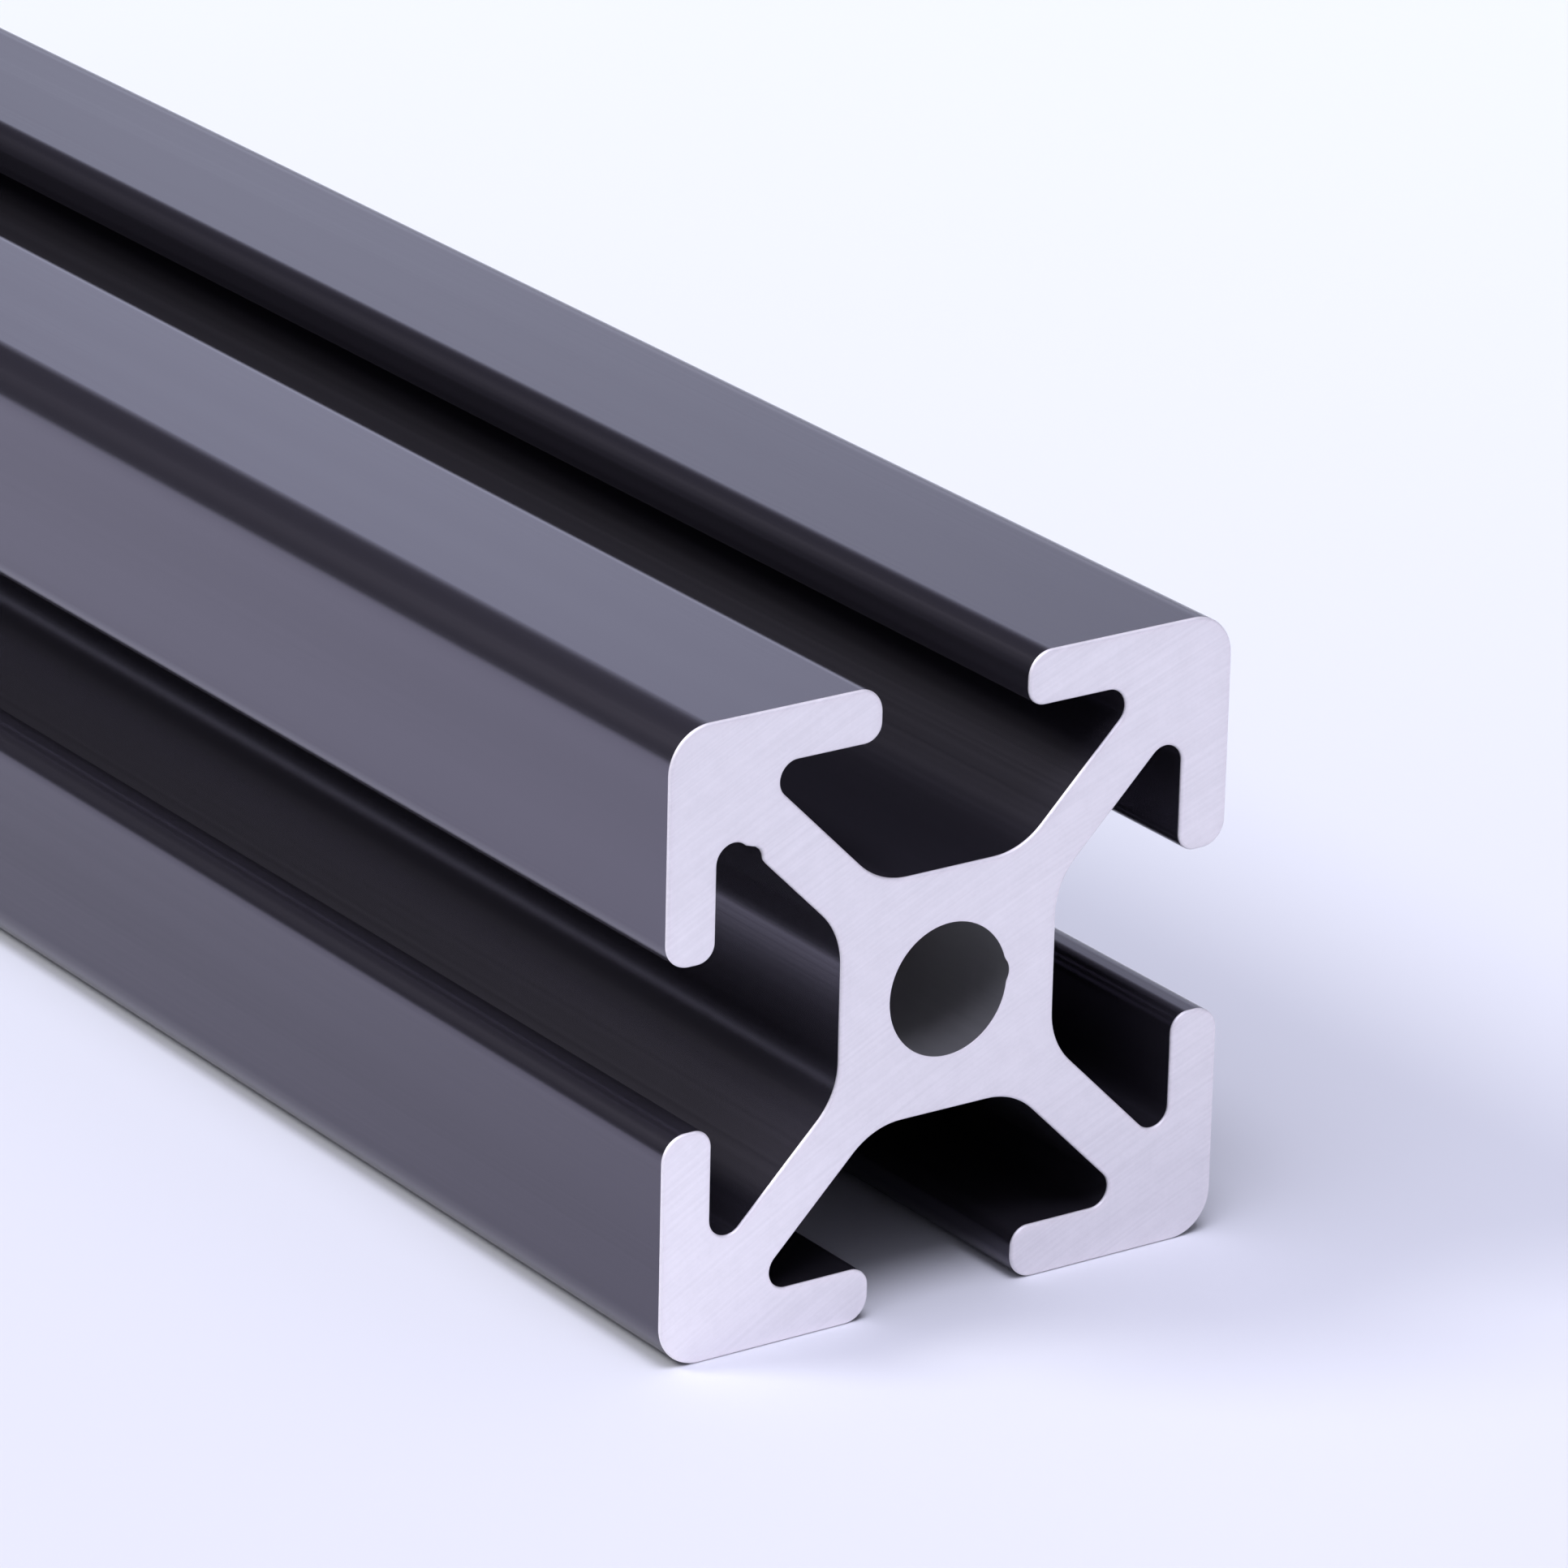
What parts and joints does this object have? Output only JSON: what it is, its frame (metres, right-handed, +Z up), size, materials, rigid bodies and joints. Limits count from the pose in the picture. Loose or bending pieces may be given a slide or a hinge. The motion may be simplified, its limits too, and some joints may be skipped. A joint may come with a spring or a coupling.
{
  "type": "slotted aluminium extrusion",
  "caption": "Square black-anodised aluminium bar with a lipped slot along each side for sliding nuts, diagonal webs and a plain bore through its core.",
  "frame": {"origin": "middle of the bar's length and width, on the floor that it lies on", "axes": "+Y along the bar, away from the end that the picture shows; +Z up; +X to the right, seen from that end"},
  "size_m": [0.02, 0.2, 0.02],
  "materials": {
    "anodised_aluminium": "satin black anodised, with bare sawn ends"
  },
  "bodies": {
    "root": {"profile_bar": "anodised_aluminium"}
  },
  "joints": []
}
